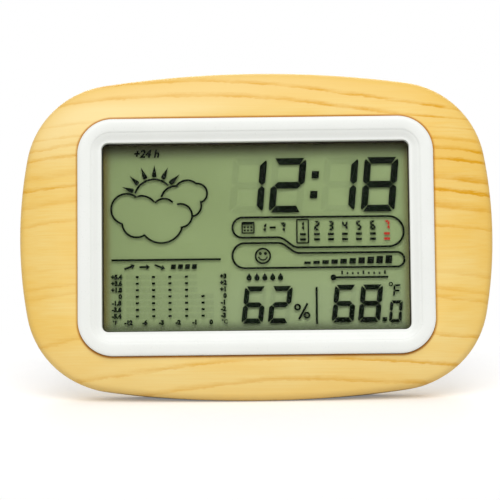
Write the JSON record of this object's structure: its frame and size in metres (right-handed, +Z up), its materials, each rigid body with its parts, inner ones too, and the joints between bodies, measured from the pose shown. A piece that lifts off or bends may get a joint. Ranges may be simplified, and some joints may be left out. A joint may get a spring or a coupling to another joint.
{
  "type": "digital weather station",
  "caption": "Tabletop digital weather station: pillowed wood frame, white bezel, segment display, rear cover with push buttons, sliding battery door and fold-out stand.",
  "frame": {"origin": "middle of the footprint box, on the floor", "axes": "+X to the reader's right, -Y the way the display faces, +Z up"},
  "size_m": [0.1696, 0.046, 0.1157],
  "materials": {
    "pine": "satin lacquered pine",
    "bezel_white": "semi-gloss white",
    "clear_window": "clear polished",
    "foam": "matt foam",
    "polariser": "satin film",
    "display_glass": "polished",
    "reflector": "matt grey green",
    "carrier": "matt",
    "elastomer": "matt",
    "board": "solder mask",
    "resin": "gloss black",
    "dark_plastic": "matt black",
    "sensor_plastic": "matt",
    "steel": "nickel plated",
    "shell": "fine texture off-white",
    "cell": "wrapped can",
    "red_wire": "satin",
    "black_wire": "satin",
    "button": "satin grey"
  },
  "bodies": {
    "housing": {"wood_frame": "pine", "bezel": "bezel_white", "display_window": "clear_window", "dust_gasket": "foam", "lcd_front_polariser": "polariser", "lcd_front_glass": "display_glass", "lcd_rear_glass": "display_glass", "lcd_reflector": "reflector", "lcd_carrier": "carrier", "zebra_strip": "elastomer", "main_board": "board", "controller_blob": "resin", "clock_crystal": "steel", "alarm_buzzer": "dark_plastic", "humidity_sensor": "sensor_plastic", "temperature_sensor": "resin", "rear_cover": "shell", "battery_upper": "cell", "battery_lower": "cell", "contact_positive": "steel", "contact_negative": "steel", "contact_bridge": "steel", "wire_positive": "red_wire", "wire_negative": "black_wire", "mode_switch": "steel", "up_switch": "steel", "down_switch": "steel", "unit_switch": "steel", "alarm_switch": "steel", "board_screw_1": "steel", "case_screw_1": "steel", "board_screw_2": "steel", "case_screw_2": "steel", "board_screw_3": "steel", "case_screw_3": "steel", "board_screw_4": "steel", "case_screw_4": "steel"},
    "stand": {"stand": "shell"},
    "battery_door": {"battery_door": "shell"},
    "mode_button": {"mode_button": "button", "mode_plunger": "dark_plastic"},
    "up_button": {"up_button": "button", "up_plunger": "dark_plastic"},
    "down_button": {"down_button": "button", "down_plunger": "dark_plastic"},
    "unit_button": {"unit_button": "button", "unit_plunger": "dark_plastic"},
    "alarm_button": {"alarm_button": "button", "alarm_plunger": "dark_plastic"}
  },
  "joints": [
    {"name": "stand_hinge", "type": "hinge", "parent": "housing", "child": "stand", "pos_m": [0, 0.01091, 0.05366], "axis": [1, 0, 0], "range_deg": [-23, 0]},
    {"name": "battery_door_slide", "type": "slide", "parent": "housing", "child": "battery_door", "axis": [0, 0.2079, 0.9781], "range_m": [0, 0.036]},
    {"name": "mode_button_push", "type": "slide", "parent": "housing", "child": "mode_button", "axis": [0, -0.9781, 0.2079], "range_m": [0, 0.0005], "stiffness_N_per_m": 1200},
    {"name": "up_button_push", "type": "slide", "parent": "housing", "child": "up_button", "axis": [0, -0.9781, 0.2079], "range_m": [0, 0.0005], "stiffness_N_per_m": 1200},
    {"name": "down_button_push", "type": "slide", "parent": "housing", "child": "down_button", "axis": [0, -0.9781, 0.2079], "range_m": [0, 0.0005], "stiffness_N_per_m": 1200},
    {"name": "unit_button_push", "type": "slide", "parent": "housing", "child": "unit_button", "axis": [0, -0.9781, 0.2079], "range_m": [0, 0.0005], "stiffness_N_per_m": 1200},
    {"name": "alarm_button_push", "type": "slide", "parent": "housing", "child": "alarm_button", "axis": [0, -0.9781, 0.2079], "range_m": [0, 0.0005], "stiffness_N_per_m": 1200}
  ]
}
